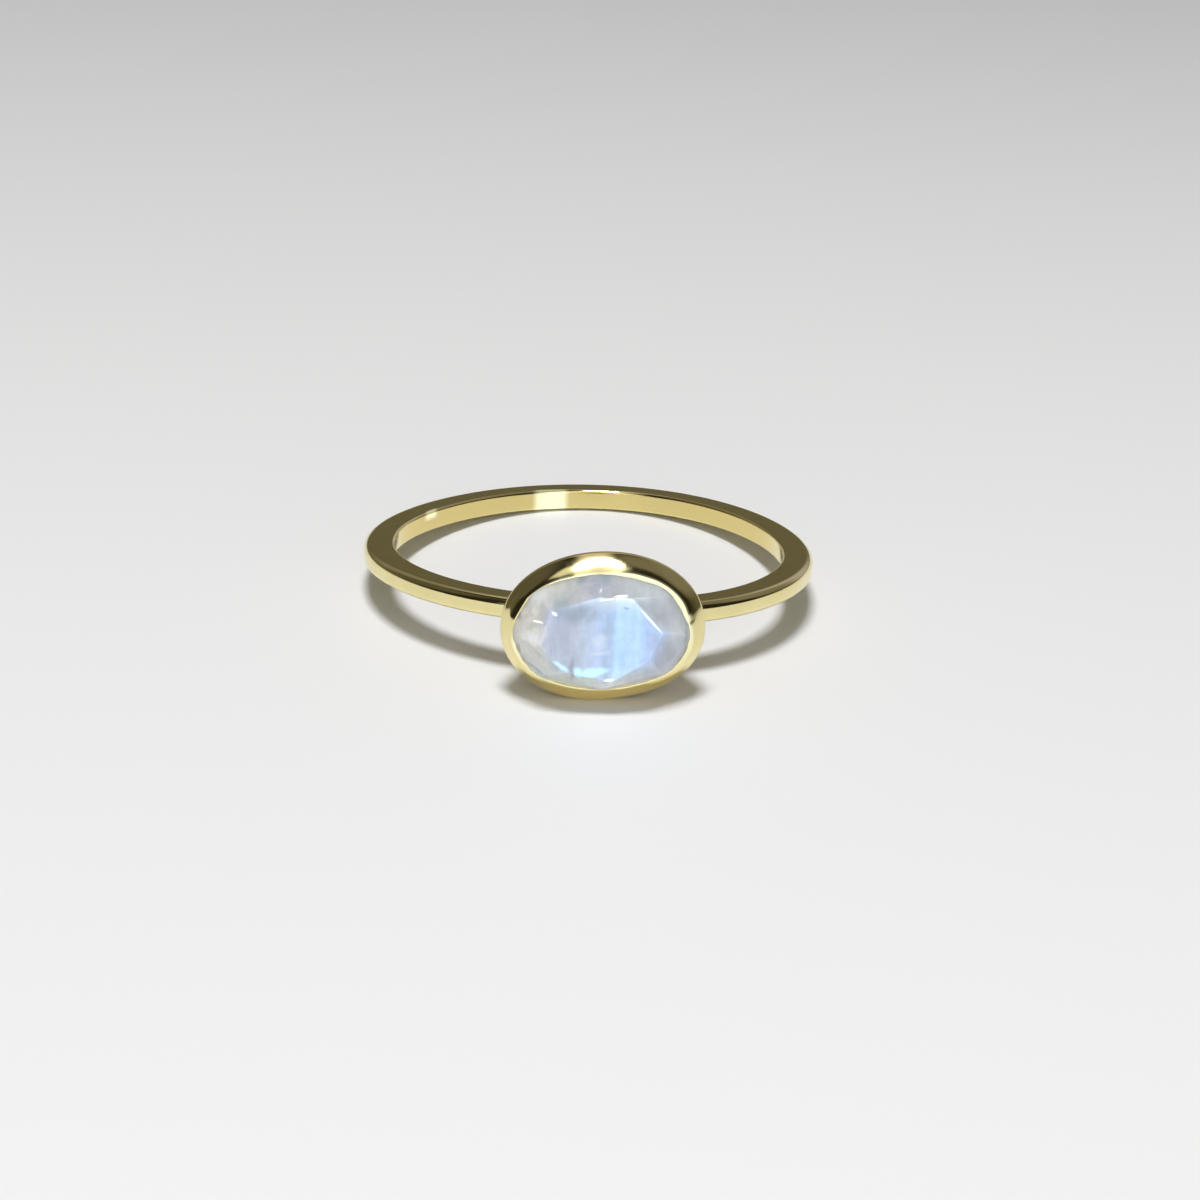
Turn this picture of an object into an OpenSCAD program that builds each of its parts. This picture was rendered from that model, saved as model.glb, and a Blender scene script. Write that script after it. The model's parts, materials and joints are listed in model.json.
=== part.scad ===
// Moonstone ring: a thin gold band with an oval bezel setting soldered to its front, and a faceted
// oval moonstone held by the setting's lip. The ring lies on its side, on the edge of the setting and
// the far edge of the band, with the setting towards -Y and +Z up. Sizes are in millimetres.

/* [Band] */
// Inner diameter of the band, 17.3 for a US size 7
finger_d = 17.3; // [16:0.1:21]
// Thickness of the band, from the finger outwards
band_t = 1.3; // [1:0.05:1.6]
// Width of the band, along the finger
band_w = 0.92; // [0.9:0.02:2]
// Rounding of the band's two outer edges
band_outer_r = 0.4; // [0.3:0.01:0.44]
// Rounding of the band's two inner edges
band_inner_r = 0.12; // [0.05:0.01:0.2]

/* [Setting] */
// Length of the setting where it is widest, across the front of the ring
setting_l = 8.48; // [8.42:0.02:8.8]
// Height of the setting where it is widest
setting_h = 6.36; // [6.32:0.02:6.6]
// Turn of the oval in its own plane, right end up
setting_turn = 5.5; // [-15:0.5:15]
// How far the setting's middle is below the band's
setting_drop = 0.1; // [0:0.02:0.2]
// Depth from the setting's flat back to where it is widest
back_to_widest = 2.35; // [2.3:0.05:2.6]
// Rounding of the wall where it is widest
corner_r = 0.37; // [0.3:0.01:0.42]
// Depth from where the setting is widest to its rim
lip_rise = 0.7; // [0.64:0.02:0.74]
// Width of the flat rim round the opening, above and below the stone
rim_w = 0.22; // [0.2:0.01:0.26]
// Angle at which the wall narrows towards the back
back_taper = 20; // [17:1:22]
// Height of the lip's opening, with the stone's shape
opening_h = 4.96; // [4.92:0.02:5]
// Thickness of the setting's back plate
plate_t = 0.5; // [0.3:0.05:0.5]

/* [Moonstone] */
// Length of the stone at its girdle
stone_l = 7.7; // [7.6:0.02:7.72]
// Height of the stone at its girdle
stone_h = 5.34; // [5.3:0.01:5.4]
// Size of the table as a share of the girdle
table_share = 0.635; // [0.6:0.005:0.66]
// Height of the crown, from the girdle to the table
crown_h = 1.95; // [1.8:0.05:2.1]
// Depth of the pavilion, from the girdle to the culet
pavilion_h = 1.4; // [1.2:0.05:1.5]
// Thickness of the girdle
girdle_t = 0.2; // [0.1:0.02:0.24]
// Free space between the stone and its pocket
stone_gap = 0.05; // [0.03:0.01:0.06]

/* [Hidden] */
$fn = 96;

gold = [0.84, 0.70, 0.34];
milky_blue = [0.77, 0.83, 0.94];

finger_r = finger_d / 2;
band_r = finger_r + band_t;

// The setting's own frame has its oval in the XY plane and its depth, counted from the ring's axis,
// along +Z. Its back plate stays just outside the finger hole.
back_clear = 0.1;
depth_back = finger_r + back_clear;
depth_widest = depth_back + back_to_widest;
depth_rim = depth_widest + lip_rise;

// Length over height of the setting's outside, and of the stone with everything that fits round it.
outside_stretch = setting_l / setting_h;
stone_stretch = stone_l / stone_h;

// The crown has eight main facets below the table and sixteen break facets round the girdle. Radii are
// shares of the girdle's half length and half height, slopes are heights over such a share.
facet_turn = 45;
half_turn = facet_turn / 2;
break_corner_share = 0.86;
break_middle_share = 0.83;
main_slope = 4.4;
star_share = 0.3;
corner_cos = cos(half_turn);
break_corner_z = crown_h - main_slope * corner_cos * (break_corner_share - table_share);
break_middle_z = crown_h - main_slope * (break_middle_share - corner_cos * table_share);
star_z = -girdle_t - pavilion_h * (1 - star_share * corner_cos);

// The stone sits as far forward as the lip allows: its steepest facet stays lip_gap behind the edge.
lip_gap = 0.11;
steepest = break_corner_z / (1 - break_corner_share) / (stone_h / 2);
depth_girdle = depth_rim - lip_gap - steepest * (stone_h - opening_h) / 2;
depth_table = depth_girdle + crown_h;

// The pocket behind the lip, the seat under the girdle and the closed hollow behind the stone, with
// half heights and depths.
opening_r = opening_h / 2;
pocket_r = stone_h / 2 + stone_gap;
seat_w = 0.55;
hollow_r = pocket_r - seat_w;
seat_slope = 0.6;
depth_pocket_top = depth_rim - steepest * (pocket_r - opening_r);
depth_seat = depth_girdle - girdle_t - stone_gap;
depth_seat_end = depth_seat - seat_slope * (pocket_r - hollow_r);
depth_floor = depth_back + plate_t;

arc_steps = 6;
corner_steps = 8;

function arc_points(centre, r, from, to, steps) =
    [for (i = [0:steps]) let (a = from + (to - from) * i / steps) centre + r * [cos(a), sin(a)]];

// A point of the stone at an angle, at a share of its half length and half height.
function stone_point(angle, share, z) =
    [stone_l / 2 * share * cos(angle), stone_h / 2 * share * sin(angle), z];

// How far the band, and the setting's rounded wall, reach from the ring's centre in a direction.
function band_reach(d) = (band_r - band_outer_r) * norm([d[0], d[1]])
    + (band_w / 2 - band_outer_r) * abs(d[2]) + band_outer_r;

function setting_reach(d) =
    let (across = d[0] * cos(setting_turn) + d[2] * sin(setting_turn),
        up = d[2] * cos(setting_turn) - d[0] * sin(setting_turn),
        m = [outside_stretch * across, up, -d[1]])
    depth_widest * m[2] + (setting_h / 2 - corner_r) * norm([m[0], m[1]]) + corner_r * norm(m)
        - setting_drop * d[2];

// The ring lies on the setting's wall and on the band's outer edge at the far side. Its plane leans
// back by the angle at which both reach equally low, found by halving.
function down(tilt) = [0, sin(tilt), -cos(tilt)];

function rest_angle(low, high, rounds) =
    let (middle = (low + high) / 2)
    rounds == 0 ? middle
        : setting_reach(down(middle)) > band_reach(down(middle)) ? rest_angle(middle, high, rounds - 1)
        : rest_angle(low, middle, rounds - 1);

tilt_limit = 30;
halvings = 40;
rest_tilt = rest_angle(0, tilt_limit, halvings);
rest_drop = band_reach(down(rest_tilt));

// Reach of the ring as it lies, from its centre to the back and to the front, where a corner of the
// table is foremost.
reach_back = band_reach([0, cos(rest_tilt), sin(rest_tilt)]);
reach_front = max([for (k = [0:7])
    let (p = stone_point(facet_turn * k, table_share, 0),
        z = p[0] * sin(setting_turn) + p[1] * cos(setting_turn) - setting_drop)
    depth_table * cos(rest_tilt) - z * sin(rest_tilt)]);

// The band's cross-section, with the finger side at finger_r.
module band_section() {
    outer_x = band_r - band_outer_r;
    outer_y = band_w / 2 - band_outer_r;
    inner_x = finger_r + band_inner_r;
    inner_y = band_w / 2 - band_inner_r;
    polygon(concat(
        arc_points([outer_x, outer_y], band_outer_r, 0, 90, arc_steps),
        arc_points([inner_x, inner_y], band_inner_r, 90, 180, arc_steps),
        arc_points([inner_x, -inner_y], band_inner_r, 180, 270, arc_steps),
        arc_points([outer_x, -outer_y], band_outer_r, 270, 360, arc_steps)));
}

module band() {
    rotate_extrude() band_section();
}

// A body turned round the depth axis and stretched to an oval. Its profile's points are
// [half height, depth], from the back to the front.
module oval_body(profile, stretch) {
    back = [0, profile[0][1]];
    front = [0, profile[len(profile) - 1][1]];
    scale([stretch, 1, 1]) rotate_extrude() polygon(concat([back], profile, [front]));
}

// The setting's outside: a flat back, a wall that widens towards the front, a rounded corner where it
// is widest, and a slanted face that runs in to the flat rim of the lip.
module setting_outside() {
    back_r = 0.15;
    slant_start = 34;
    corner_c = [setting_h / 2 - corner_r, depth_widest];
    taper_start = corner_c + corner_r * [cos(-back_taper), sin(-back_taper)];
    taper_run = taper_start[1] - depth_back - back_r;
    back_c = [taper_start[0] - taper_run * tan(back_taper) - back_r, depth_back + back_r];
    oval_body(concat(
        arc_points(back_c, back_r, 270, 360 - back_taper, arc_steps),
        arc_points(corner_c, corner_r, -back_taper, slant_start, corner_steps),
        [[opening_r + rim_w, depth_rim]]), outside_stretch);
}

// What is hollow in the setting: the lip's opening, the stone's pocket, its seat and the space behind.
module setting_inside() {
    open_end = 1;
    oval_body([
        [hollow_r, depth_floor],
        [hollow_r, depth_seat_end],
        [pocket_r, depth_seat],
        [pocket_r, depth_pocket_top],
        [opening_r, depth_rim],
        [opening_r, depth_rim + open_end]], stone_stretch);
}

// The stone's corners, from the table down: 8 of the table, 16 of the break, 16 and 16 of the girdle,
// 8 of the pavilion's stars and the culet.
stone_points = concat(
    [for (k = [0:7]) stone_point(facet_turn * k, table_share, crown_h)],
    [for (j = [0:15]) j % 2 == 0
        ? stone_point(half_turn * j, break_corner_share, break_corner_z)
        : stone_point(half_turn * j, break_middle_share, break_middle_z)],
    [for (j = [0:15]) stone_point(half_turn * j, 1, 0)],
    [for (j = [0:15]) stone_point(half_turn * j, 1, -girdle_t)],
    [for (k = [0:7]) stone_point(facet_turn * k + half_turn, star_share, star_z)],
    [[0, 0, -girdle_t - pavilion_h]]);

first_break = 8;
first_girdle = first_break + 16;
first_back = first_girdle + 16;
first_star = first_back + 16;
culet = first_star + 8;

function next16(j) = (j + 1) % 16;
function next8(k) = (k + 1) % 8;

// Each face's corners run clockwise as seen from outside.
stone_faces = concat(
    [[for (k = [7:-1:0]) k]],
    [for (k = [0:7]) [k, next8(k), first_break + next16(2 * k + 1), first_break + 2 * k + 1,
        first_break + 2 * k]],
    [for (j = [0:15]) each [
        [first_break + j, first_break + next16(j), first_girdle + j],
        [first_break + next16(j), first_girdle + next16(j), first_girdle + j],
        [first_girdle + j, first_girdle + next16(j), first_back + next16(j), first_back + j]]],
    [for (k = [0:7]) each [
        [first_back + 2 * k, first_back + 2 * k + 1, first_star + k],
        [first_back + 2 * k + 1, first_back + next16(2 * k + 1), first_star + k],
        [first_back + next16(2 * k + 1), first_star + next8(k), culet, first_star + k]]]);

// Sets a piece that is built in the setting's frame on the front of the ring.
module at_front() {
    translate([0, 0, -setting_drop]) rotate([90, 0, 0]) rotate([0, 0, setting_turn]) children();
}

// Lays the ring down: the origin is below the middle of its outline, on the surface.
module lying() {
    translate([0, (reach_front - reach_back) / 2, rest_drop]) rotate([-rest_tilt, 0, 0]) children();
}

// The band runs behind the setting's back plate, and its part inside the setting is cut away.
module gold_ring() {
    color(gold) lying() difference() {
        union() {
            band();
            at_front() setting_outside();
        }
        at_front() setting_inside();
    }
}

module moonstone() {
    color(milky_blue) lying() at_front() translate([0, 0, depth_girdle])
        polyhedron(points = stone_points, faces = stone_faces, convexity = 2);
}

gold_ring();
moonstone();
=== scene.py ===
"""The looks of the moonstone ring: its metal and stone as fine meshes, a floor, soft light and a camera.

Shapes are worked out in millimetres in the ring's own frame, with the finger hole's axis along Z and the
setting towards -Y. RING and SETTING then carry them to where the CAD model lies, in metres.
"""

import json
import math

import bmesh
import bpy
import numpy as np
from mathutils import Matrix, Vector


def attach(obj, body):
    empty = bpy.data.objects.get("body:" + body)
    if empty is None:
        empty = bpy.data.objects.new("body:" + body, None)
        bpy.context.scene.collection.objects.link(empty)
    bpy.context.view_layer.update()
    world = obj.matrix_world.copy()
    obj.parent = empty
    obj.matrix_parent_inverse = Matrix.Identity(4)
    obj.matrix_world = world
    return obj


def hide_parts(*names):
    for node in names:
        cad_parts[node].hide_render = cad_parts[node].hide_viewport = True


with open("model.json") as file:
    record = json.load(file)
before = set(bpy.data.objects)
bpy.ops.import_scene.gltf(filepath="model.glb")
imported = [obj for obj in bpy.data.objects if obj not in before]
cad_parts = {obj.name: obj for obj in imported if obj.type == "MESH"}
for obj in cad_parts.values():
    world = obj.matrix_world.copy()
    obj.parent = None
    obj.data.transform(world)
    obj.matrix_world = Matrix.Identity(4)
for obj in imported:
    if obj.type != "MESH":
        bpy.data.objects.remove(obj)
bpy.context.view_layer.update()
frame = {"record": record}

MM = 0.001

# Where the ring lies: the finger hole's centre and axis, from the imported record.
bore = frame["record"]["mounts"][0]
hole_axis = Vector(bore["axis"])
FINGER_R = bore["dims"]["r_mm"]
LEAN = math.atan2(hole_axis.y, hole_axis.z)
RING = Matrix.Translation(bore["pos_m"]) @ Matrix.Rotation(-LEAN, 4, "X") @ Matrix.Scale(MM, 4)

# The band, in mm, and the longest step along its outline.
BAND_T = 1.33
BAND_W = 0.92
BAND_INSIDE = -0.04
BAND_OUTER_R = 0.31
BAND_INNER_R = 0.12
BAND_STEP = 0.12
# How far the band and the setting sit low at the front, and the angles from the front, in radians, over
# which the band comes down to that.
FRONT_DIP = 0.1
DIP_ANGLES = (1.2, 0.4)
# How the hand-bent band is off a true circle: a small turn in radians, and shares of its radius for waves
# that go round it two and three times.
BEND_TURN = 0.105
TWO_WAVES = 0.0045
THREE_WAVES = (-0.0235, 0.0051)

# The setting, in mm. Heights are half the oval's short side, depths are counted from the ring's axis.
SETTING_TURN = math.radians(5.5)
BACK_DEPTH = FINGER_R + 0.1
WIDEST_DEPTH = 11.03
WIDEST_H = 3.177
WIDEST_STRETCH = 1.335
CORNER_R = 0.37
TAPER = math.radians(20)
BACK_CORNER = 0.15
BACK_MIDDLE = 0.02
RIM_LEAST = 0.01
RIM_W = 0.15
RIM_EDGE = 0.03
LIP_DEPTH = 11.82
# Where the slanted face ends, outwards and forwards of the rim, the angle of the setting's top, and half
# the slanted face's turn in degrees, there and elsewhere.
SLANT_END = (0.047, 0.009)
TOP_ANGLE = math.radians(92)
TOP_SPREAD = 8
SPREAD = 13
OPENING_H = 2.44
OPENING_STRETCH = 1.464
SETTING_FULLNESS = 2.06
OPENING_FULLNESS = 2.2
# How the hand-made setting differs from an even oval: extra turns of its outside and its opening, the
# opening's shift, and bulges by angle from the right end, half width and amount.
OUTSIDE_TURN = math.radians(-2.5)
OPENING_TURN = math.radians(-4.5)
OPENING_SHIFT = (-0.1, -0.06)
OUTSIDE_BULGES = ((-30, 50, 0.12), (-130, 60, 0.07))
OPENING_BULGES = ((14, 30, -0.06), (-14, 30, 0.1))
# The rim's width as a share: what it is mostly, its small unevenness, and what is added round some angles:
# the angle, the cosines of the way from it at which the addition starts and is full, and its amount.
RIM_USUAL = 0.14
RIM_UNEVEN = 0.04
RIM_PHASES = (0.3, 1.9, 3.2)
RIM_PARTS = ((50, 0.75, 0.97, 0.8), (-8, 0.75, 1, 0.25), (150, 0.7, 0.9, -0.14))
# The unevenness of the lip's outline, in mm, and where its waves start.
LIP_UNEVEN = 0.012
LIP_PHASES = (0.4, 2.1, 4.0, 1.2, 5.5, 0.9, 2.2, 3.9)
# At this depth behind the rim the lip's edge stays this far off the stone. The lip's inside leaves the
# stone some room at each of four depths, and ends in the hollow, whose size is a share of the opening's.
PRESS_DROP = 0.02
PRESS_GAP = 0.008
LIP_INSIDE = ((0.05, 0.012), (0.11, 0.008), (0.22, 0.015), (0.45, 0.02))
POCKET_DROP = 0.82
HOLLOW_DROPS = (1.2, 2.5)
HOLLOW_SHARE = 0.86
# How many columns of points run round the setting, and round the band apart from its solder.
ROUND_STEPS = 480
SETTING = (RING @ Matrix.Translation((0, 0, -FRONT_DIP)) @ Matrix.Rotation(math.radians(90), 4, "X")
           @ Matrix.Rotation(SETTING_TURN, 4, "Z"))

# The stone, in mm, with its facets' corners as shares of the girdle.
GIRDLE_H = 2.66
GIRDLE_DEPTH = 11.43
CROWN_H = 1.68
PAVILION_H = 1.4
GIRDLE_T = 0.2
TABLE_SHARE = 0.645
BREAK_CORNER_SHARE = 0.86
BREAK_MIDDLE_SHARE = 0.83
STAR_SHARE = 0.3
MAIN_SLOPE = 3.65
EDGE_W = 0.035
TABLE_DEPTH = GIRDLE_DEPTH + CROWN_H
# The angles from one corner of the table, of the crown's break facets and of the girdle to the next.
FACET_TURN = 45
BREAK_TURN = FACET_TURN / 2
GIRDLE_TURN = FACET_TURN / 4
# Between these shares of the girdle's size the stone takes on the opening's uneven outline.
FIT_SHARES = (0.65, 0.95)
# Farther, in mm, than the stone reaches in any direction.
FAR = 9.0
# How far each corner of the hand-cut table is off its even place, from the right end round by the top.
TABLE_SHIFT = (
    (-0.12, 0.1), (-0.68, 0.42), (-0.1, 0.06), (-0.28, 0.12),
    (-0.2, 0), (0.08, 0), (0.2, -0.08), (-0.12, 0.2))

# The polished joint's painted highlight inside the band at the back, and a small painted glint: middle and
# half width, in mm, and how softly the joint's painted highlight ends.
JOINT_HIGHLIGHT_X = -1.45
JOINT_HIGHLIGHT_HALF = 0.72
JOINT_HIGHLIGHT_SOFT = 0.22
GLINT_SPOT_X = -7.05
GLINT_SPOT_HALF = 0.2

# The solder's fillet where the band meets the setting, in mm, how far inside the wall it starts, and over
# how much depth it grows. The band has this many more sections at these angles from the front, on both sides.
SOLDER = 0.3
SOLDER_INSET = 0.05
SOLDER_START = 0.3
SOLDER_ANGLES = (17, 28)
SOLDER_STEPS = 120


def smoothstep(x, low, high):
    t = np.clip((np.asarray(x, float) - low) / (high - low), 0, 1)
    return t * t * (3 - 2 * t)


def arc(centre, radii, start, end, steps):
    """Points of an elliptic arc, with its angles in degrees."""
    a = np.radians(np.linspace(start, end, steps + 1))
    return np.stack([centre[0] + radii[0] * np.cos(a), centre[1] + radii[1] * np.sin(a)], -1)


def chain(*parts):
    """Joins stretches of an outline and leaves out points that repeat."""
    points = np.concatenate([np.atleast_2d(p) for p in parts])
    gap = np.linalg.norm(np.diff(points, axis=0), axis=1)
    return points[np.concatenate([[True], gap > 1e-6])]


def fill_straights(points, longest):
    """Adds points on the long straight stretches of an outline."""
    rows = [points[:1]]
    for a, b in zip(points[:-1], points[1:]):
        n = max(1, math.ceil(np.linalg.norm(b - a) / longest))
        rows.append(a + (b - a) * np.linspace(0, 1, n + 1)[1:, None])
    return np.concatenate(rows)


def mesh_object(name, verts, faces, place, material, smooth=True):
    mesh = bpy.data.meshes.new(name)
    mesh.from_pydata([place @ Vector(v) for v in verts], [], faces)
    mesh.materials.append(material)
    mesh.polygons.foreach_set("use_smooth", [smooth] * len(mesh.polygons))
    mesh.update()
    piece = bpy.data.objects.new(name, mesh)
    bpy.context.scene.collection.objects.link(piece)
    return piece


def grid_faces(rows, columns, close_rows):
    """Quads between the points of a grid whose columns close on themselves."""
    faces = []
    for i in range(rows if close_rows else rows - 1):
        k = (i + 1) % rows
        for j in range(columns):
            m = (j + 1) % columns
            faces.append((i * columns + j, i * columns + m, k * columns + m, k * columns + j))
    return faces


# Node helpers

def new_material(name):
    """A material, its node tree and its shader."""
    material = bpy.data.materials.new(name)
    material.use_nodes = True
    tree = material.node_tree
    shader = tree.nodes["Principled BSDF"]
    return material, tree, shader


def add(tree, kind, **values):
    """A node, with values for its inputs or its own settings."""
    node = tree.nodes.new(kind)
    for key, value in values.items():
        if key in node.inputs.keys():
            node.inputs[key].default_value = value
        else:
            setattr(node, key, value)
    return node


def link(tree, source, target):
    tree.links.new(source, target)


def ramp(tree, source, stops):
    """Colours that follow each other, each from its own position on."""
    node = tree.nodes.new("ShaderNodeValToRGB")
    elements = node.color_ramp.elements
    while len(elements) < len(stops):
        elements.new(0.5)
    for element, (position, colour) in zip(elements, stops):
        element.position = position
        element.color = (*colour, 1)
    link(tree, source, node.inputs["Fac"])
    return node.outputs["Color"]


def window(tree, source, low, high):
    """Goes smoothly from 0 at the low value to 1 at the high one."""
    node = tree.nodes.new("ShaderNodeMapRange")
    node.interpolation_type = "SMOOTHSTEP"
    flip = low > high
    node.inputs["From Min"].default_value = min(low, high)
    node.inputs["From Max"].default_value = max(low, high)
    node.inputs["To Min"].default_value = 1.0 if flip else 0.0
    node.inputs["To Max"].default_value = 0.0 if flip else 1.0
    link(tree, source, node.inputs["Value"])
    return node.outputs["Result"]


def math_node(tree, operation, *values):
    node = tree.nodes.new("ShaderNodeMath")
    node.operation = operation
    for slot, value in zip(node.inputs, values):
        if isinstance(value, (int, float)):
            slot.default_value = value
        else:
            link(tree, value, slot)
    return node.outputs["Value"]


def times(tree, first, *others):
    """The product of some shares."""
    for other in others:
        first = math_node(tree, "MULTIPLY", first, other)
    return first


def add_up(tree, start, *parts):
    """A number plus some shares, each times its own weight."""
    for share, weight in parts:
        start = math_node(tree, "MULTIPLY_ADD", share, weight, start)
    return start


def vector_math(tree, operation, *values):
    node = add(tree, "ShaderNodeVectorMath", operation=operation)
    for slot, value in zip(node.inputs, values):
        if isinstance(value, tuple):
            slot.default_value = value
        else:
            link(tree, value, slot)
    return node


def noise(tree, place, scale, detail, roughness=0.5):
    node = add(tree, "ShaderNodeTexNoise", Scale=scale, Detail=detail, Roughness=roughness)
    link(tree, place, node.inputs["Vector"])
    return node


def mix_colour(tree, share, first, second):
    """The first colour where the share is 0, and the second where it is 1."""
    node = add(tree, "ShaderNodeMix", data_type="RGBA")
    for name, value in (("Factor_Float", share), ("A_Color", first), ("B_Color", second)):
        slot = next(i for i in node.inputs if i.identifier == name)
        if isinstance(value, tuple):
            slot.default_value = (*value, 1)
        elif isinstance(value, (int, float)):
            slot.default_value = value
        else:
            link(tree, value, slot)
    return next(o for o in node.outputs if o.identifier == "Result_Color")


def srgb(r, g, b):
    """A colour as a screen shows it, in the renderer's own values."""
    shares = (r / 255, g / 255, b / 255)
    return tuple(v / 12.92 if v <= 0.04045 else ((v + 0.055) / 1.055) ** 2.4 for v in shares)


def coordinates_in(tree, source, place):
    """Coordinates in millimetres, in the frame of the ring or of the setting."""
    spot, turn, _ = place.decompose()
    node = add(tree, "ShaderNodeMapping", vector_type="TEXTURE",
               Location=spot, Rotation=turn.to_euler(), Scale=(MM, MM, MM))
    link(tree, source, node.inputs["Vector"])
    return node.outputs["Vector"]


def separate(tree, source):
    node = add(tree, "ShaderNodeSeparateXYZ")
    link(tree, source, node.inputs["Vector"])
    return node.outputs["X"], node.outputs["Y"], node.outputs["Z"]


# Gold painted paler as a highlight where it is burnished or polished, painted warmer and brighter as
# reflected light under the setting, painted darker as shade inside the band, and the colour of its painted
# glow.
PAINTED_HIGHLIGHT_GOLD = (1.0, 0.98, 0.7)
UNDER_REFLECTION_GOLD = (1.0, 0.8, 0.33)
INSIDE_SHADE_GOLD = (0.83, 0.69, 0.29)
PAINTED_GLOW_GOLD = (1.0, 0.97, 0.5)


def gold_material():
    """Polished yellow gold, faintly cloudy and worn, painted paler as highlights at the burnished lip and the
    joint.
    """
    material, tree, shader = new_material("polished_gold")
    where = add(tree, "ShaderNodeTexCoord").outputs["Object"]
    cloud = noise(tree, where, 700.0, 3.0)
    colour = ramp(tree, cloud.outputs["Fac"], [(0.3, (0.87, 0.77, 0.37)), (0.7, (0.93, 0.83, 0.44))])

    # Painted highlights on the joint and on a small spot, inside the band at the back, and painted shade on
    # the rest of its inside there. Limits are in mm.
    x, y, z = separate(tree, coordinates_in(tree, where, RING))
    r = math_node(tree, "SQRT", math_node(tree, "MULTIPLY_ADD", x, x, math_node(tree, "MULTIPLY", y, y)))
    from_joint = math_node(tree, "ABSOLUTE", math_node(tree, "SUBTRACT", x, JOINT_HIGHLIGHT_X))
    joint = times(tree, window(tree, from_joint, JOINT_HIGHLIGHT_HALF + JOINT_HIGHLIGHT_SOFT, JOINT_HIGHLIGHT_HALF - JOINT_HIGHLIGHT_SOFT),
                  window(tree, r, FINGER_R + 0.36, FINGER_R + 0.28))
    from_spot = math_node(tree, "ABSOLUTE", math_node(tree, "SUBTRACT", x, GLINT_SPOT_X))
    spot = times(tree, window(tree, from_spot, GLINT_SPOT_HALF + 0.15, GLINT_SPOT_HALF - 0.1),
                 window(tree, z, 0.0, 0.3), window(tree, r, FINGER_R - 0.06, FINGER_R - 0.16))
    back_highlight = times(tree, math_node(tree, "MAXIMUM", joint, spot), window(tree, y, 2, 4))
    # Painted shade: the band's inside at the back is tinted darker gold.
    inside = times(tree, window(tree, math_node(tree, "ABSOLUTE", z), 0.45, 0.36),
                   window(tree, r, FINGER_R + 0.6, FINGER_R + 0.45), window(tree, y, 0, 3))

    # The burnished lip's painted highlight, which fades out downwards and is left out at the upper left, and
    # the underside, painted warmer and brighter as reflected light.
    across, up, depth = separate(tree, coordinates_in(tree, where, SETTING))
    not_upper_left = math_node(tree, "MAXIMUM", window(tree, across, -2.3, -1.6), window(tree, up, 0.4, -0.4))
    lip = times(tree, window(tree, depth, LIP_DEPTH - 0.04, LIP_DEPTH - 0.015),
                add_up(tree, 0.2, (window(tree, up, -2, 0.6), 0.8)), not_upper_left)
    under = times(tree, window(tree, up, -1.7, -2.6), window(tree, depth, WIDEST_DEPTH - 0.2, WIDEST_DEPTH),
                  math_node(tree, "SUBTRACT", 1, lip))
    painted_highlight = math_node(tree, "MAXIMUM", back_highlight, lip)
    for share, tint in ((under, UNDER_REFLECTION_GOLD), (inside, INSIDE_SHADE_GOLD), (painted_highlight, PAINTED_HIGHLIGHT_GOLD)):
        colour = mix_colour(tree, share, colour, tint)
    link(tree, colour, shader.inputs["Base Color"])
    shader.inputs["Emission Color"].default_value = (*PAINTED_GLOW_GOLD, 1)
    # Painted glow: the lip's and the joint's painted highlights and the underside's painted reflected light
    # shine a little.
    painted_glow = add_up(tree, 0, (painted_highlight, 0.14), (back_highlight, 0.16), (under, 0.045))
    link(tree, painted_glow, shader.inputs["Emission Strength"])

    wear = noise(tree, where, 4200.0, 5.0)
    gloss = add(tree, "ShaderNodeMapRange", **{"To Min": 0.05, "To Max": 0.15})
    link(tree, wear.outputs["Fac"], gloss.inputs["Value"])
    link(tree, gloss.outputs["Result"], shader.inputs["Roughness"])
    shader.inputs["Metallic"].default_value = 1.0
    return material


# Colours of the milky stone, with light painted in. On the table a painted blue sheen over its lavender grey
# runs across it, in mm from its middle; round it the crown's grey carries each facet's painted reflections
# and runs with the angle from the right end.
TABLE_COLOURS_AND_SHEEN = (
    (-2.6, (166, 174, 194)), (-1.3, (174, 182, 198)), (-0.85, (178, 191, 208)), (-0.6, (180, 194, 216)),
    (-0.1, (175, 194, 220)), (0.04, (163, 183, 208)), (0.36, (163, 185, 211)), (0.46, (172, 201, 231)),
    (1.4, (171, 198, 230)), (1.9, (163, 181, 214)), (2.2, (160, 178, 206)))
CROWN_COLOURS_AND_REFLECTIONS = (
    (-180, (200, 200, 196)), (-150, (198, 202, 199)), (-118, (190, 198, 196)), (-90, (208, 212, 214)),
    (-60, (175, 181, 189)), (-30, (177, 183, 192)), (0, (187, 193, 197)), (22, (172, 178, 184)),
    (50, (176, 184, 190)), (75, (170, 174, 180)), (95, (161, 165, 175)), (120, (184, 186, 184)),
    (150, (190, 190, 186)), (180, (200, 200, 196)))
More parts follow.
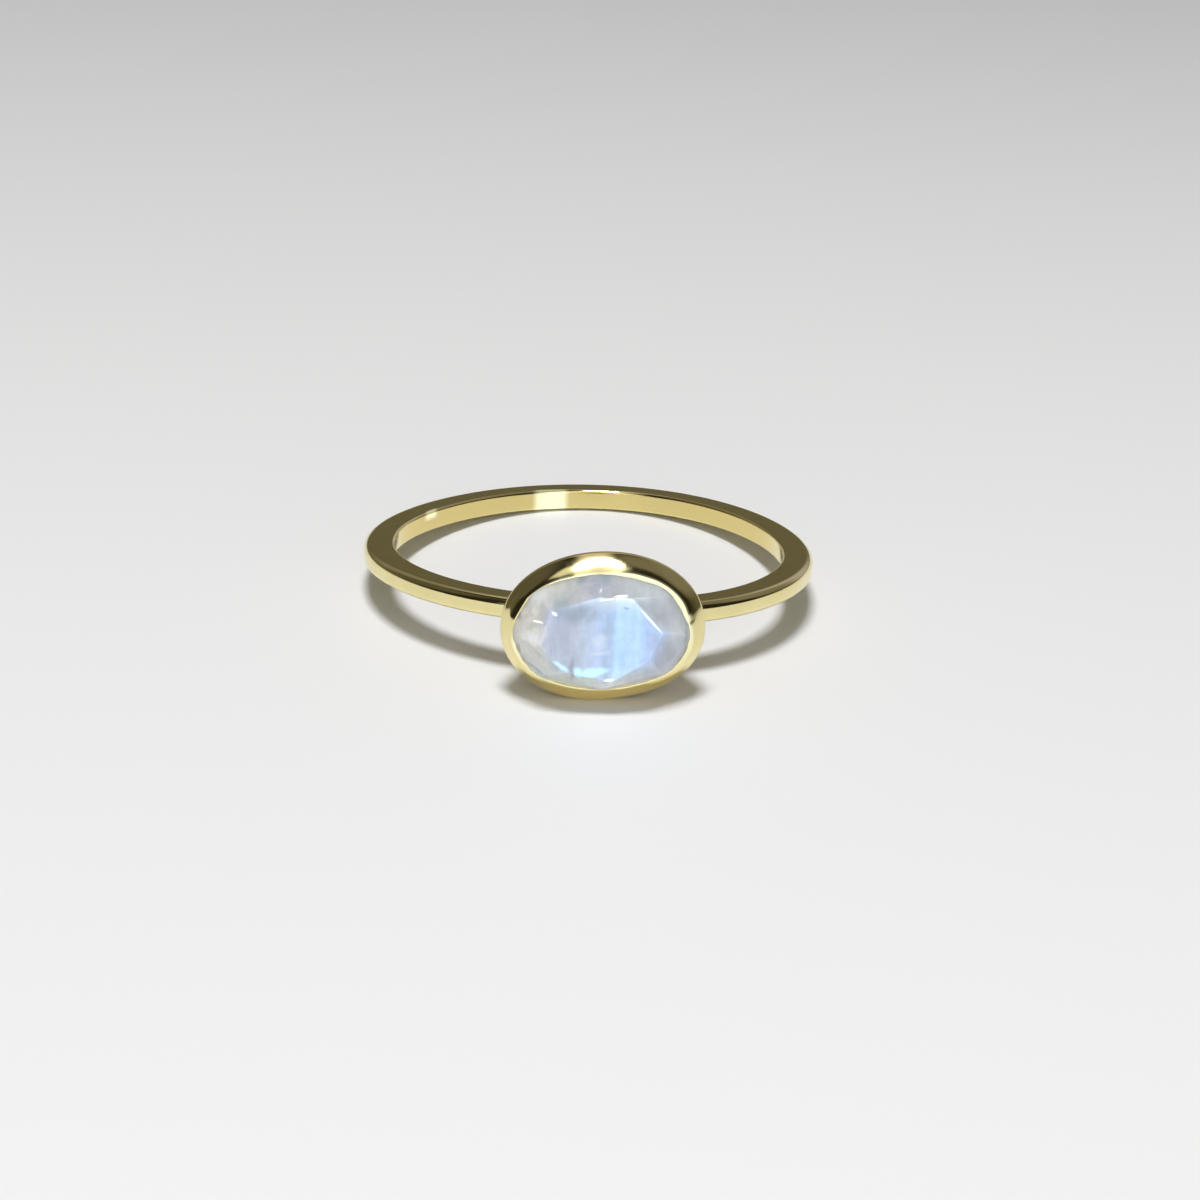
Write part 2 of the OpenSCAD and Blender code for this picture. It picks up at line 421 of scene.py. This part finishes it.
# Spots on the stone: middle, half size and turn in degrees. Painted blue sheen flashes, painted glints on
# facet edges, darker places, those at the stone's edge against the lip being painted shade, and small paler
# clouds.
BLUE_SHEEN_FLASHES = (
    ((-1.9, -1.0), (0.36, 0.13), -40), ((-1.16, -1.38), (0.17, 0.3), 0), ((-0.55, -1.36), (0.6, 0.2), 6))
PAINTED_GLINTS = (
    ((0.8, 1.72), (0.26, 0.035), -6), ((0.2, 1.7), (0.3, 0.015), 6), ((1.95, 0.64), (0.6, 0.03), -53),
    ((-1.98, 1.27), (0.12, 0.06), -40), ((-2.68, 0.86), (0.2, 0.035), 0), ((-3.2, 1.66), (0.1, 0.06), 50),
    ((0.04, -1.76), (0.2, 0.07), 6))
DARK_SPOTS_AND_EDGE_SHADE = (
    ((-1.6, 1.5), (0.45, 0.36), 10), ((-3.42, 1.02), (0.07, 0.16), -20), ((-3.52, -0.4), (0.05, 0.2), 8),
    ((-1.0, 1.2), (0.8, 0.4), 0), ((-1.45, -1.2), (0.1, 0.5), -4), ((-0.75, 2.3), (0.2, 0.12), 15),
    ((0.15, 2.3), (0.34, 0.16), 0), ((0.95, 1.28), (0.12, 0.05), -10), ((-2.9, -1.3), (0.5, 0.08), -40),
    ((3.38, -0.3), (0.07, 0.5), -12), ((3.32, 0.75), (0.06, 0.12), 20))
PALE_SPOTS = (
    ((-0.62, 1.12), (0.3, 0.1), 50), ((-0.2, -0.1), (0.26, 0.3), 0), ((-0.22, -0.55), (0.32, 0.1), 0),
    ((-2.7, 2.0), (0.5, 0.35), 30), ((-3.0, 0.25), (0.3, 0.14), 0))
# Half the width over which the table's colours run, in mm, and how far the stone's inside is wavy.
TABLE_REACH = 3.0
WAVE = 0.3


def patches(tree, place, spots, soft):
    """Where any of some turned ovals covers a place, from 0 to 1."""
    total = 0.0
    for (x, y), (half_x, half_y), turn in spots:
        in_oval = add(tree, "ShaderNodeMapping", vector_type="TEXTURE", Location=(x, y, 0),
                      Rotation=(0, 0, math.radians(turn)), Scale=(half_x, half_y, 1e4))
        link(tree, place, in_oval.inputs["Vector"])
        length = vector_math(tree, "LENGTH", in_oval.outputs["Vector"])
        total = math_node(tree, "MAXIMUM", total, window(tree, length.outputs["Value"], 1 + soft, 1 - soft))
    return total


def stone_material():
    """Milky moonstone: painted blue sheen, flashes, glints and faint emitted light, a grey glassy crown with
    painted reflections.
    """
    material, tree, shader = new_material("moonstone")
    where = add(tree, "ShaderNodeTexCoord").outputs["Object"]
    place = coordinates_in(tree, where, SETTING)

    # A little waviness in everything that lies inside the stone.
    ripple = noise(tree, place, 2.2, 3.0)
    off = vector_math(tree, "MULTIPLY_ADD", ripple.outputs["Color"], (WAVE, WAVE, 0), place)
    wavy = vector_math(tree, "SUBTRACT", off.outputs["Vector"], (WAVE / 2, WAVE / 2, 0)).outputs["Vector"]
    across, up, depth = separate(tree, wavy)

    # Upright layers, which lean by the setting's turn.
    layer = add_up(tree, 0, (across, math.cos(SETTING_TURN)), (up, -math.sin(SETTING_TURN)))
    table = ramp(tree, add_up(tree, 0.5, (layer, 0.5 / TABLE_REACH)),
                 [(0.5 + 0.5 * u / TABLE_REACH, srgb(*colour)) for u, colour in TABLE_COLOURS_AND_SHEEN])
    round_it = add(tree, "ShaderNodeMapping", vector_type="POINT", Scale=(1 / OPENING_STRETCH, 1, 1))
    link(tree, wavy, round_it.inputs["Vector"])
    angle = add(tree, "ShaderNodeTexGradient", gradient_type="RADIAL")
    link(tree, round_it.outputs["Vector"], angle.inputs["Vector"])
    crown = ramp(tree, angle.outputs["Fac"], [(a / 360 + 0.5, srgb(*colour)) for a, colour in CROWN_COLOURS_AND_REFLECTIONS])

    # The table's colours end at its edge, and fade out past it at the lower right and the left.
    sharp = window(tree, depth, TABLE_DEPTH - 0.12, TABLE_DEPTH - 0.02)
    beyond = math_node(tree, "SUBTRACT", window(tree, depth, TABLE_DEPTH - 0.55, TABLE_DEPTH + 0.1), sharp)
    downhill = add_up(tree, 0, (across, 0.6), (up, -0.8))
    soft = math_node(tree, "MAXIMUM", window(tree, downhill, 0.9, 1.5), window(tree, across, -1.7, -2.1))
    on_table = add_up(tree, sharp, (soft, beyond))
    left_fade = window(tree, across, -2.95, -2.3)
    colour = mix_colour(tree, times(tree, on_table, left_fade), crown, table)

    # Upright streaks and clouds, lighter and darker.
    streaks = add(tree, "ShaderNodeMapping", vector_type="POINT",
                  Rotation=(0, 0, SETTING_TURN), Scale=(4.5, 0.9, 0.9))
    link(tree, place, streaks.inputs["Vector"])
    fine = noise(tree, streaks.outputs["Vector"], 1.0, 4.0)
    clouds = noise(tree, place, 1.9, 5.0, 0.65)
    tone = add_up(tree, 0.75, (fine.outputs["Fac"], 0.3), (clouds.outputs["Fac"], 0.38))
    shade = vector_math(tree, "SCALE", colour)
    link(tree, tone, shade.inputs["Scale"])
    colour = vector_math(tree, "MINIMUM", shade.outputs["Vector"], (0.97, 0.97, 0.99)).outputs["Vector"]

    # Whitish veils at the left, a paler band along the table's upper edge, and the spots, among them painted
    # sheen flashes, painted glints and darker places that are partly painted shade.
    veil = noise(tree, wavy, 1.5, 5.0, 0.7)
    veils = times(tree, window(tree, veil.outputs["Fac"], 0.5, 0.62), window(tree, across, -1.8, -2.8))
    high = times(tree, on_table, window(tree, up, 1.0, 1.6), window(tree, across, -0.8, 0.1))
    sheen_flash = patches(tree, wavy, BLUE_SHEEN_FLASHES, 0.4)
    painted_glint = patches(tree, place, PAINTED_GLINTS, 0.35)
    for share, weight, tint in (
            (veils, 0.3, (236, 235, 226)),
            (high, 0.6, (202, 210, 218)),
            (patches(tree, wavy, PALE_SPOTS, 0.8), 0.4, (226, 236, 244)),
            (patches(tree, wavy, DARK_SPOTS_AND_EDGE_SHADE, 0.7), 0.55, (130, 146, 160)),
            (sheen_flash, 0.75, (196, 240, 255)),
            (painted_glint, 1.0, (252, 253, 255))):
        colour = mix_colour(tree, times(tree, share, weight), colour, srgb(*tint))
    link(tree, colour, shader.inputs["Base Color"])

    # Painted glow all over the stone, more on the table, its blue sheen and the flashes, and most on the
    # glints.
    blue = times(tree, on_table, window(tree, layer, -0.2, 0.5))
    painted_glow = add_up(tree, 0.13, (on_table, 0.1), (blue, 0.1), (sheen_flash, 0.1), (painted_glint, 0.35))
    link(tree, colour, shader.inputs["Emission Color"])
    link(tree, painted_glow, shader.inputs["Emission Strength"])
    shader.inputs["Subsurface Weight"].default_value = 1.0
    shader.inputs["Subsurface Radius"].default_value = (1.0, 1.1, 1.3)
    shader.inputs["Subsurface Scale"].default_value = 0.0012
    shader.inputs["Roughness"].default_value = 0.06
    shader.inputs["IOR"].default_value = 1.52
    return material


gold = gold_material()
milky = stone_material()


# The stone

def oval(theta, h, stretch, fullness):
    """Point of a superellipse in the setting's plane."""
    c, s = np.cos(theta), np.sin(theta)
    r = (np.abs(c) ** fullness + np.abs(s) ** fullness) ** (-1 / fullness)
    return h * stretch * r * c, h * r * s


def bulge(x, y, bulges):
    """Sideways and upward parts of some bulges, at places round the oval."""
    around = np.degrees(np.arctan2(y, x))
    out = 0
    for middle, half, amount in bulges:
        away = np.abs((around - middle + 180) % 360 - 180)
        out = out + amount * smoothstep(away, half, 0)
    r = np.maximum(np.hypot(x, y), 1e-6)
    return out * x / r, out * y / r


def turned(x, y, angle):
    """Places turned round the middle."""
    c, s = np.cos(angle), np.sin(angle)
    return x * c - y * s, x * s + y * c


def fit_opening(x, y, share):
    """Moves places on the plain oval to the opening's real, uneven outline."""
    dx, dy = bulge(x, y, OPENING_BULGES)
    x, y = turned(x + share * dx, y + share * dy, share * OPENING_TURN)
    return x + share * OPENING_SHIFT[0], y + share * OPENING_SHIFT[1]


def stone_corner(angle, share, z, shift=(0, 0)):
    """A corner at an angle in degrees, at a share of the girdle's size and a height above it."""
    x, y = oval(np.radians(angle), GIRDLE_H * share, OPENING_STRETCH, OPENING_FULLNESS)
    x, y = fit_opening(x, y, smoothstep(share, *FIT_SHARES))
    return (float(x) + shift[0], float(y) + shift[1], GIRDLE_DEPTH + z)


def stone_shape():
    """The stone's corners and faces, from the table down."""
    half_cos = math.cos(math.radians(BREAK_TURN))
    corner_z = CROWN_H - MAIN_SLOPE * half_cos * (BREAK_CORNER_SHARE - TABLE_SHARE)
    middle_z = CROWN_H - MAIN_SLOPE * (BREAK_MIDDLE_SHARE - half_cos * TABLE_SHARE)
    star_z = -GIRDLE_T - PAVILION_H * (1 - STAR_SHARE * half_cos)
    points = [stone_corner(FACET_TURN * k, TABLE_SHARE, CROWN_H, TABLE_SHIFT[k]) for k in range(8)]
    for j in range(16):
        on_corner = j % 2 == 0
        share = BREAK_CORNER_SHARE if on_corner else BREAK_MIDDLE_SHARE
        points.append(stone_corner(BREAK_TURN * j, share, corner_z if on_corner else middle_z))
    points += [stone_corner(GIRDLE_TURN * j, 1, 0) for j in range(32)]
    points += [stone_corner(GIRDLE_TURN * j, 1, -GIRDLE_T) for j in range(32)]
    points += [stone_corner(FACET_TURN * k + BREAK_TURN, STAR_SHARE, star_z) for k in range(8)]
    points.append((0, 0, GIRDLE_DEPTH - GIRDLE_T - PAVILION_H))
    # The first of the break's corners, of the girdle's front and back and of the stars, and the culet.
    wreath, girdle, back, star, culet = 8, 24, 56, 88, 96
    faces = [tuple(range(8))]
    for k in range(8):
        j = 2 * k
        end = (j + 2) % 16
        faces.append((k, wreath + j, wreath + j + 1, wreath + end, (k + 1) % 8))
        for i in range(4 * k, 4 * k + 4):
            faces.append((star + k, back + (i + 1) % 32, back + i))
        faces.append((star + k, culet, star + (k + 1) % 8, back + (4 * k + 4) % 32))
    for j in range(16):
        m = (j + 1) % 16
        low, middle, high = 2 * j, 2 * j + 1, (2 * j + 2) % 32
        faces.append((wreath + j, girdle + low, girdle + middle))
        faces.append((wreath + j, girdle + middle, wreath + m))
        faces.append((girdle + middle, girdle + high, wreath + m))
    for i in range(32):
        m = (i + 1) % 32
        faces.append((back + i, back + m, girdle + m, girdle + i))
    return points, faces


stone_points, stone_faces = stone_shape()


def stone_reach(across, up, depth):
    """How far the stone's crown reaches at a depth, in directions given by their two parts."""
    corners = np.array(stone_points)
    along = np.stack([across, up], -1)
    reach = np.full(len(across), FAR)
    for face in stone_faces:
        a, b, c = corners[list(face[:3])]
        normal = np.cross(b - a, c - a)
        lowest = corners[list(face), 2].min()
        if normal[2] <= 1e-9 or lowest < GIRDLE_DEPTH - 1e-6:
            continue
        outwards = along @ normal[:2]
        room = normal @ a - normal[2] * depth
        limit = np.where(outwards > 1e-6, room / np.maximum(outwards, 1e-6), FAR)
        reach = np.minimum(reach, np.maximum(limit, 0))
    return reach


def build_stone():
    """The stone, with each facet edge rounded a little."""
    stone = mesh_object("moonstone_cut", stone_points, stone_faces, SETTING, milky, smooth=False)
    shape = bmesh.new()
    shape.from_mesh(stone.data)
    bmesh.ops.recalc_face_normals(shape, faces=shape.faces)
    cut = bmesh.ops.bevel(shape, geom=list(shape.edges), offset=EDGE_W * MM, segments=4, affect="EDGES")
    for face in cut["faces"]:
        face.smooth = True
    shape.to_mesh(stone.data)
    shape.free()
    return stone


# The setting

def taper_h(depth):
    """Half height of the tapered wall at a depth."""
    start_h = WIDEST_H - CORNER_R * (1 - math.cos(TAPER))
    start_depth = WIDEST_DEPTH - CORNER_R * math.sin(TAPER)
    return start_h - (start_depth - depth) * math.tan(TAPER)


def walk(start, turns):
    """An outline that leaves a point. A turn is a length, its first and last normal in degrees, and steps."""
    points = [np.array(start, float)]
    for length, first, last, steps in turns:
        for k in range(steps):
            a = math.radians(first + (last - first) * (k + 0.5) / steps)
            points.append(points[-1] + length / steps * np.array([-math.sin(a), math.cos(a)]))
    return np.array(points)


def setting_profile(rim_w, spread):
    """Half height, depth and share of the lip's own outline, from the back's middle to the lip's inner edge.

    The slanted face's normal turns by twice the spread, in degrees, from its outer to its inner edge.
    """
    corner_c = (taper_h(BACK_DEPTH + BACK_CORNER) - BACK_CORNER, BACK_DEPTH + BACK_CORNER)
    corner_radii = (BACK_CORNER, BACK_CORNER)
    front_c = (WIDEST_H - CORNER_R, WIDEST_DEPTH)
    front_radii = (CORNER_R, CORNER_R)
    wall = -math.degrees(TAPER)
    back = chain([[BACK_MIDDLE, BACK_DEPTH]], arc(corner_c, corner_radii, 270, 360 + wall, 8))
    taper_end = arc(front_c, front_radii, wall, wall, 1)[0]
    taper = back[-1] + (taper_end - back[-1]) * np.linspace(0, 1, 20)[1:, None]
    # The rounded corner ends where the slanted face leaves it without a crease. A guess in degrees gets
    # better in a few rounds.
    first = 40
    for _ in range(3):
        front = arc(front_c, front_radii, wall, first, 18)[1:]
        run = front[-1] - (OPENING_H + rim_w + SLANT_END[0], LIP_DEPTH + SLANT_END[1])
        middle = math.degrees(math.atan2(run[0], -run[1]))
        first = middle - spread
    slant = math.hypot(*run)
    last = middle + spread
    slope = walk(front[-1], [
        (slant, first, last, 12), (RIM_EDGE, last, 88, 5), (rim_w, 88, 92, 4), (RIM_EDGE, 92, 180, 6)])[1:]
    slope += smoothstep(np.arange(len(slope)), -1, 12)[:, None] * ((OPENING_H, LIP_DEPTH) - slope[-1])
    points = np.concatenate([back, taper, front, slope])
    lip_share = 1 - smoothstep(points[:, 0], OPENING_H, WIDEST_H)
    past_widest = np.arange(len(points)) > np.argmax(points[:, 0])
    return points, np.where(past_widest, lip_share, 0)


def hand(theta, phases):
    """A slow handmade unevenness round the oval, between -1 and 1."""
    waves = [math.sin(k + 1) * np.sin((k + 2) * theta + phase) for k, phase in enumerate(phases)]
    return sum(waves) / len(phases)


def rim_share(theta):
    """How wide the lip's flat rim is at an angle, from 0 to 1. It is widest at the upper right."""
    share = RIM_USUAL + RIM_UNEVEN * hand(theta, RIM_PHASES)
    for middle, start, full, amount in RIM_PARTS:
        share = share + amount * smoothstep(np.cos(theta - math.radians(middle)), start, full)
    return np.clip(share, 0, 1)


def build_setting():
    """The setting: rings of points from the back's middle over the wall and the lip to the hollow inside."""
    theta = np.linspace(0, 2 * math.pi, ROUND_STEPS, endpoint=False)
    # The slanted face is flattest at the top, within these angles in radians, and rounder elsewhere.
    at_top = smoothstep(np.abs(theta - TOP_ANGLE), 0.7, 0.2)
    spread = SPREAD + (TOP_SPREAD - SPREAD) * at_top
    profiles = [setting_profile(RIM_LEAST + RIM_W * share, turn)
                for share, turn in zip(rim_share(theta), spread)]
    h, depth = np.stack([points for points, _ in profiles], -1).transpose(1, 0, 2)
    lip = np.stack([shares for _, shares in profiles], -1)
    uneven = LIP_UNEVEN * hand(theta, LIP_PHASES)[None] * lip
    stretch = WIDEST_STRETCH + (OPENING_STRETCH - WIDEST_STRETCH) * lip
    fullness = SETTING_FULLNESS + (OPENING_FULLNESS - SETTING_FULLNESS) * lip
    x, y = oval(theta[None], h + uneven, stretch, fullness)
    dx, dy = bulge(x, y, OUTSIDE_BULGES)
    x, y = turned(x + dx * (1 - lip), y + dy * (1 - lip), OUTSIDE_TURN * (1 - lip))
    x, y = fit_opening(x, y, lip)
    # The lip's edge is pressed against the stone, wherever the stone's facets fall short of the oval.
    edge = np.hypot(x[-1], y[-1])
    reach = stone_reach(x[-1] / edge, y[-1] / edge, LIP_DEPTH - PRESS_DROP)
    short = np.maximum(edge - reach - PRESS_GAP, 0)
    pull = 1 - short / edge * lip ** 3
    x = x * pull
    y = y * pull
    edge = np.hypot(x[-1], y[-1])
    across, up = x[-1] / edge, y[-1] / edge
    # Behind its edge the lip leans on the stone down to the pocket, and the hollow ends at its floor.
    inside = [(drop, stone_reach(across, up, LIP_DEPTH - drop) + gap) for drop, gap in LIP_INSIDE]
    inside[0] = (inside[0][0], np.minimum(edge, inside[0][1]))
    inside.append((POCKET_DROP, inside[-1][1]))
    inside += [(drop, HOLLOW_SHARE * edge) for drop in HOLLOW_DROPS]
    for drop, r in inside:
        x = np.concatenate([x, [r * across]])
        y = np.concatenate([y, [r * up]])
        depth = np.concatenate([depth, [np.full(len(theta), LIP_DEPTH - drop)]])
    verts = np.stack([x, y, depth], -1).reshape(-1, 3)
    rows, columns = x.shape
    faces = grid_faces(rows, columns, False)
    faces.append(tuple(range(columns - 1, -1, -1)))
    faces.append(tuple((rows - 1) * columns + j for j in range(columns)))
    return mesh_object("setting", verts, faces, SETTING, gold)


# The band

def band_section():
    """The band's outline as distance from the finger's side, and height, run round once."""
    outer = BAND_T - BAND_OUTER_R
    up = BAND_W / 2 - BAND_OUTER_R
    inner_up = BAND_W / 2 - BAND_INNER_R
    outer_radii = (BAND_OUTER_R, BAND_OUTER_R)
    inner_radii = (BAND_INNER_R, BAND_INNER_R)
    points = chain(
        arc((outer, up), outer_radii, 0, 90, 12),
        arc((BAND_INNER_R, inner_up), inner_radii, 90, 180, 8),
        arc((BAND_INNER_R, -inner_up), inner_radii, 180, 270, 8),
        arc((outer, -up), outer_radii, 270, 360, 12),
        [[BAND_T, up]])
    return fill_straights(points, BAND_STEP)[:-1]


def round_of_band(phi):
    """How far the hand-bent band is off a true circle, in mm, at an angle from the front."""
    turn = phi + BEND_TURN
    share = (TWO_WAVES * np.cos(2 * turn) + THREE_WAVES[0] * np.cos(3 * turn)
             + THREE_WAVES[1] * np.sin(3 * turn))
    return share * (FINGER_R + BAND_T)


def gap_to_setting(points):
    """Rough sideways distance from points in the ring's frame to the setting's wall, and their depths."""
    c, s = math.cos(SETTING_TURN + OUTSIDE_TURN), math.sin(SETTING_TURN + OUTSIDE_TURN)
    height = points[..., 2] + FRONT_DIP
    u = points[..., 0] * c + height * s
    v = -points[..., 0] * s + height * c
    depth = -points[..., 1]
    h = taper_h(np.clip(depth, BACK_DEPTH, WIDEST_DEPTH))
    p = SETTING_FULLNESS
    share = (np.abs(u / (h * WIDEST_STRETCH)) ** p + np.abs(v / h) ** p) ** (1 / p)
    slope = np.hypot(u / (h * WIDEST_STRETCH) ** 2, v / h ** 2) / np.maximum(share, 1e-6)
    return (share - 1) / np.maximum(slope, 1e-6) * math.cos(TAPER), depth


def solder_rise(gap):
    """How far the solder stands on the band at a distance from the setting."""
    near = np.clip(gap, 0, SOLDER) + SOLDER_INSET
    return (math.sqrt(SOLDER) - np.sqrt(np.minimum(near, SOLDER))) ** 2


def build_band():
    """The band, with more sections where the solder is."""
    section = band_section()
    ahead = np.roll(section, -1, axis=0) - np.roll(section, 1, axis=0)
    normal = np.stack([ahead[:, 1], -ahead[:, 0]], -1)
    normal /= np.linalg.norm(normal, axis=1)[:, None]
    even = np.linspace(-math.pi, math.pi, ROUND_STEPS, endpoint=False)
    joint = np.radians(np.linspace(*SOLDER_ANGLES, SOLDER_STEPS))
    phi = np.unique(np.concatenate([even, joint, -joint]))
    side = np.sin(phi)[:, None]
    front = np.cos(phi)[:, None]

    def place(across, height):
        r = FINGER_R + BAND_INSIDE + across + round_of_band(phi)[:, None]
        dip = FRONT_DIP * smoothstep(np.abs(phi), *DIP_ANGLES)[:, None]
        return np.stack([r * side, -r * front, height - dip + 0 * r], -1)

    plain = place(section[None, :, 0], section[None, :, 1])
    # The solder is on the wall alone, not behind the back plate.
    gap, depth = gap_to_setting(plain)
    rise = solder_rise(gap) * smoothstep(depth, BACK_DEPTH, BACK_DEPTH + SOLDER_START)
    verts = place(section[None, :, 0] + rise * normal[None, :, 0],
                  section[None, :, 1] + rise * normal[None, :, 1])
    rows, columns = verts.shape[:2]
    faces = [f[::-1] for f in grid_faces(rows, columns, True)]
    return mesh_object("band", verts.reshape(-1, 3), faces, RING, gold)


def join(first, second, name):
    """Makes one piece of two meshes."""
    with bpy.context.temp_override(active_object=first, selected_editable_objects=[first, second]):
        bpy.ops.object.join()
    first.name = name
    return first


ring = join(build_setting(), build_band(), "gold_ring_fine")
stone = build_stone()
for piece, node, slot in ((ring, "gold_ring", "gold"), (stone, "moonstone", "moonstone")):
    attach(piece, "root")
    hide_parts(node)


# The floor: half its side, and the stretch over which it is painted greyer as a falloff of the light, in
# metres.
FLOOR_HALF = 3.0
FLOOR_PAINTED_FALLOFF = 0.2


def floor_material():
    """Smooth white paper with a very faint mottle, painted greyer towards the back as the light falls off."""
    material, tree, shader = new_material("pale_floor")
    where = add(tree, "ShaderNodeTexCoord").outputs["Object"]
    mottle = noise(tree, where, 60.0, 4.0)
    _, y, _ = separate(tree, where)
    colour = ramp(tree, add_up(tree, 0.3, (y, 1 / FLOOR_PAINTED_FALLOFF), (mottle.outputs["Fac"], 0.03)), [
        (0.0, (0.82, 0.828, 0.84)), (0.3, (0.765, 0.774, 0.79)), (0.45, (0.73, 0.738, 0.75)),
        (0.62, (0.675, 0.683, 0.696)), (0.85, (0.58, 0.587, 0.60))])
    link(tree, colour, shader.inputs["Base Color"])
    shader.inputs["Roughness"].default_value = 0.6
    shader.inputs["Specular IOR Level"].default_value = 0.2
    return material


def build_floor():
    mesh = bpy.data.meshes.new("floor")
    corners = [(FLOOR_HALF * x, FLOOR_HALF * y, 0) for x, y in ((-1, -1), (1, -1), (1, 1), (-1, 1))]
    mesh.from_pydata(corners, [], [(0, 1, 2, 3)])
    mesh.materials.append(floor_material())
    floor = bpy.data.objects.new("floor", mesh)
    bpy.context.scene.collection.objects.link(floor)


build_floor()


# Light

def area_light(name, centre, size, radiance, colour):
    """A level panel that shines down, in metres, with its brightness as seen."""
    lamp = bpy.data.lights.new(name, "AREA")
    lamp.shape = "ELLIPSE"
    lamp.size, lamp.size_y = size
    lamp.energy = radiance * math.pi * size[0] * size[1] * math.pi / 4
    lamp.color = colour
    light = bpy.data.objects.new(name, lamp)
    light.location = centre
    bpy.context.scene.collection.objects.link(light)
    return light


area_light("key", centre=(-0.03, -0.104, 0.5), size=(0.15, 0.13), radiance=44.5, colour=(1, 0.998, 0.995))


# The room's own brightness, and that low at the back.
DARK_ROOM = (0.02, 0.017, 0.012)
LOW_BACK = (0.125, 0.113, 0.075)
# A long soft light that runs overhead from the back to the front: how far left its middle is, and its
# brightness at the back and at the front.
LONG_LIGHT_X = 0.07
LONG_LIGHT_BACK = (0.6, 0.54, 0.50)
LONG_LIGHT_FRONT = (0.8, 0.78, 0.72)
# Soft patches of the room: where they are in degrees from the back towards the right and above the
# horizon, how many degrees out they are full and how many out they end, and their brightness.
ROOM_PATCHES = (
    (35, 22, 12, 30, (0.42, 0.39, 0.42)),
    (0, 42, 10, 26, (0.34, 0.32, 0.31)),
    (-32, 32, 8, 28, (0.22, 0.20, 0.17)),
    (66, 40, 14, 34, (0.2, 0.185, 0.16)),
    (75, 66, 8, 20, (0.18, 0.165, 0.14)),
    (-75, 38, 12, 34, (0.10, 0.09, 0.07)),
    (-130, 68, 4, 12, (0.70, 0.68, 0.60)),
    (180, 15, 21, 46, (1.25, 1.24, 1.25)),
)


def build_world():
    """A dark room with a few soft bright patches."""
    world = bpy.data.worlds.new("room")
    bpy.context.scene.world = world
    world.use_nodes = True
    tree = world.node_tree
    aim = add(tree, "ShaderNodeTexCoord").outputs["Generated"]
    x, y, z = separate(tree, aim)
    low_back = times(tree, window(tree, y, -0.2, 0.5), window(tree, z, 0.62, 0.2))
    total = mix_colour(tree, low_back, DARK_ROOM, LOW_BACK)
    for side, up, full, end, brightness in ROOM_PATCHES:
        a, e = math.radians(side), math.radians(up)
        middle = (math.sin(a) * math.cos(e), math.cos(a) * math.cos(e), math.sin(e))
        facing = vector_math(tree, "DOT_PRODUCT", aim, middle).outputs["Value"]
        share = window(tree, facing, math.cos(math.radians(end)), math.cos(math.radians(full)))
        total = mix_colour(tree, share, total, brightness)
    sideways = math_node(tree, "ABSOLUTE", math_node(tree, "ADD", x, LONG_LIGHT_X))
    long_light = times(tree, window(tree, sideways, 0.2, 0.08), window(tree, z, 0.62, 0.78))
    brightness = mix_colour(tree, window(tree, y, 0.1, -0.05), LONG_LIGHT_BACK, LONG_LIGHT_FRONT)
    total = mix_colour(tree, long_light, total, brightness)
    link(tree, total, tree.nodes["Background"].inputs["Color"])


build_world()

# Camera, fitted to the band's outlines in the photo. The photo's size and the focal length are in pixels,
# the sensor and all distances in mm, and angles in radians, in the ring's frame.
PHOTO = 1200
FOCAL_PX = 3637.5
SENSOR = 36
NEAREST = 5
CAMERA_AWAY = 161.6
CAMERA_SIDE = -0.055
CAMERA_UP = 0.2731
CAMERA_ROLL = 0.0341
AIM = Vector((0.059, -7.665, 0))


def build_camera():
    """The camera, placed in the ring's frame and carried with the ring to where it lies."""
    flat = CAMERA_AWAY * math.cos(CAMERA_UP)
    eye = Vector((flat * math.sin(CAMERA_SIDE), -flat * math.cos(CAMERA_SIDE),
                  CAMERA_AWAY * math.sin(CAMERA_UP)))
    ahead = (AIM - eye).normalized()
    right = ahead.cross(Vector((0, 0, 1))).normalized()
    up = right.cross(ahead)
    c, s = math.cos(CAMERA_ROLL), math.sin(CAMERA_ROLL)
    right, up = c * right + s * up, c * up - s * right
    turn = RING.to_3x3().normalized()
    pose = Matrix((turn @ right, turn @ up, turn @ -ahead)).transposed().to_4x4()
    pose.translation = RING @ eye
    lens = bpy.data.cameras.new("photo_camera")
    lens.sensor_width = SENSOR
    lens.lens = lens.sensor_width * FOCAL_PX / PHOTO
    lens.clip_start = NEAREST * MM
    camera = bpy.data.objects.new("photo_camera", lens)
    camera.matrix_world = pose
    bpy.context.scene.collection.objects.link(camera)
    bpy.context.scene.camera = camera


build_camera()
bpy.context.scene.view_settings.view_transform = "Standard"
